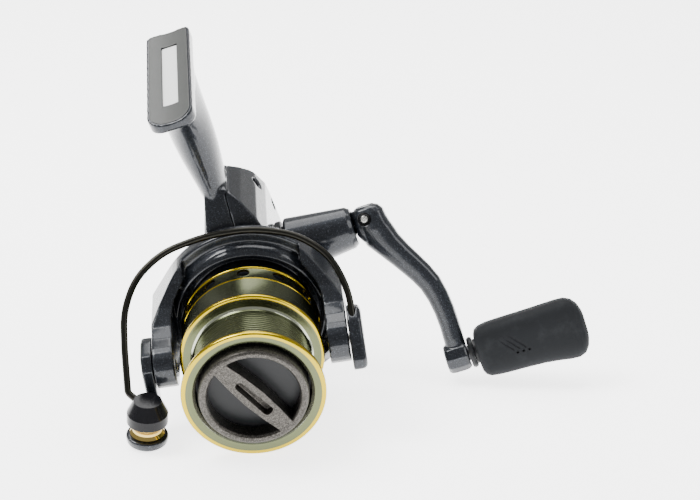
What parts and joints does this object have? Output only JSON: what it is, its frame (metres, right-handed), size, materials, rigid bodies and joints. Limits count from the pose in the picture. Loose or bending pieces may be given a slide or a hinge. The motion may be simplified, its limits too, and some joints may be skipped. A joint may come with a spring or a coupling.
{
  "type": "spinning reel",
  "caption": "Front-drag spinning reel with a folding handle on the right, an open-face skirted spool, a rotor with flip-over bail and line roller, and a rod foot on a slim stem.",
  "frame": {"origin": "centre of the concave seat on top of the foot, where the reel meets the rod", "axes": "+Z from the spool axis towards the rod, +Y along the spool axis towards the rear, +X towards the handle; the spool's open front faces -Y"},
  "size_m": [0.1552, 0.1092, 0.1437],
  "materials": {
    "body_paint": "metallic-flake paint under a gloss clear coat on a moulded graphite composite",
    "arm_paint": "metallic-flake paint under a gloss clear coat on die-cast alloy",
    "spool_metal": "olive-grey anodised, gold diamond-cut rims",
    "drag_metal": "dark, coarse blasted",
    "black_satin": "satin",
    "black_gloss": "gloss",
    "label_white": "plain, blank",
    "wire_black": "satin",
    "roller_gold": "polished coating",
    "steel": "machined",
    "gear_metal": "die-cast zinc look",
    "brass": "machined",
    "felt": "greased carbon felt",
    "nylon": "moulded",
    "knob_rubber": "matt"
  },
  "bodies": {
    "reel_body": {"body_housing": "body_paint", "side_cover": "body_paint", "side_cover_screws": "steel", "foot_label_plate": "label_white", "pinion_bearing": "steel", "one_way_clutch": "steel", "bearing_retainer": "black_satin", "retainer_screws": "steel", "drive_bearing_right": "steel", "drive_bearing_left": "steel", "main_shaft_bush": "brass", "oscillating_gear_axle": "steel", "anti_reverse_pin": "steel"},
    "anti_reverse_body": {"anti_reverse_lever": "body_paint"},
    "crank": {"drive_gear": "gear_metal", "handle_shank": "arm_paint", "handle_collar": "black_satin", "handle_screw_cap": "black_satin"},
    "handle_arm_body": {"handle_arm": "arm_paint", "handle_pivot_screw": "steel", "knob_shaft": "steel", "knob_washer": "black_gloss"},
    "knob_body": {"handle_knob": "knob_rubber", "knob_core": "black_satin"},
    "osc_body": {"oscillating_gear": "gear_metal"},
    "shaft_body": {"main_shaft": "steel", "crosswind_block": "gear_metal", "slider_screw": "steel", "click_ratchet": "steel", "spool_washer": "nylon", "drag_washers_metal": "steel"},
    "spool_body": {"spool": "spool_metal", "drag_washers_felt": "felt", "drag_retainer_ring": "steel", "click_pawl_pin": "steel"},
    "pawl_body": {"click_pawl": "nylon"},
    "drag_plate_body": {"drag_click_plate": "steel"},
    "drag_knob_body": {"drag_knob_ring": "drag_metal", "drag_knob_base": "black_satin", "drag_nut": "steel"},
    "rotor_body": {"rotor": "body_paint", "arm_cover": "body_paint", "arm_cover_screws": "steel", "bail_spring": "steel", "rotor_nut_plate": "black_satin", "pinion_gear": "brass", "clutch_sleeve": "steel", "rotor_nut": "steel"},
    "bail_body": {"bail_arm": "arm_paint", "bail_arm_screw": "steel", "wire_cap": "black_gloss", "bail_lever": "body_paint", "bail_wire": "wire_black", "bail_lever_screw": "steel", "roller_screw": "steel"},
    "roller_body": {"line_roller": "roller_gold", "roller_bearing": "steel"}
  },
  "joints": [
    {"name": "handle_turn", "type": "hinge", "parent": "reel_body", "child": "crank", "pos_m": [0, -0.0012, -0.075], "axis": [1, 0, 0], "continuous": true},
    {"name": "handle_fold", "type": "hinge", "parent": "crank", "child": "handle_arm_body", "pos_m": [0.0453, -0.00049, -0.07324], "axis": [0, -0.9272, 0.3746], "range_deg": [0, 90]},
    {"name": "knob_spin", "type": "hinge", "parent": "handle_arm_body", "child": "knob_body", "pos_m": [0.06575, -0.02177, -0.1259], "axis": [1, 0, 0], "continuous": true},
    {"name": "oscillating_gear_turn", "type": "hinge", "parent": "reel_body", "child": "osc_body", "pos_m": [-0.008, 0.0078, -0.08823], "axis": [1, 0, 0], "continuous": true},
    {"name": "rotor_turn", "type": "hinge", "parent": "reel_body", "child": "rotor_body", "pos_m": [0, 0, -0.0813], "axis": [0, 1, 0], "continuous": true},
    {"name": "shaft_slide", "type": "slide", "parent": "reel_body", "child": "shaft_body", "axis": [0, 1, 0], "range_m": [-0.0075, 0.0075]},
    {"name": "spool_turn", "type": "hinge", "parent": "shaft_body", "child": "spool_body", "pos_m": [0, 0, -0.0813], "axis": [0, 1, 0], "continuous": true},
    {"name": "click_pawl_rock", "type": "hinge", "parent": "spool_body", "child": "pawl_body", "pos_m": [0.0089, -0.0565, -0.0813], "axis": [0, 1, 0], "range_deg": [-10, 10], "stiffness_Nm_per_rad": 0.002},
    {"name": "drag_advance", "type": "slide", "parent": "shaft_body", "child": "drag_plate_body", "axis": [0, 1, 0], "range_m": [-0.0008, 0.0008]},
    {"name": "drag_knob_turn", "type": "hinge", "parent": "drag_plate_body", "child": "drag_knob_body", "pos_m": [0, 0, -0.0813], "axis": [0, 1, 0], "range_deg": [-360, 360]},
    {"name": "bail_flip", "type": "hinge", "parent": "rotor_body", "child": "bail_body", "pos_m": [0, -0.0517, -0.0813], "axis": [0.9848, 0, -0.1736], "range_deg": [0, 125]},
    {"name": "line_roller_spin", "type": "hinge", "parent": "bail_body", "child": "roller_body", "pos_m": [-0.03904, -0.0662, -0.08792], "axis": [0.3584, 0, 0.9336], "continuous": true},
    {"name": "anti_reverse_switch", "type": "hinge", "parent": "reel_body", "child": "anti_reverse_body", "pos_m": [0, 0.0158, -0.0989], "axis": [-1, 0, 0], "range_deg": [0, 20]}
  ],
  "couplings": [
    {"joint": "oscillating_gear_turn", "follows": "handle_turn", "ratio": -0.45455},
    {"joint": "rotor_turn", "follows": "handle_turn", "ratio": 5},
    {"joint": "drag_advance", "follows": "drag_knob_turn", "m_per_rad": 0.00012732}
  ]
}
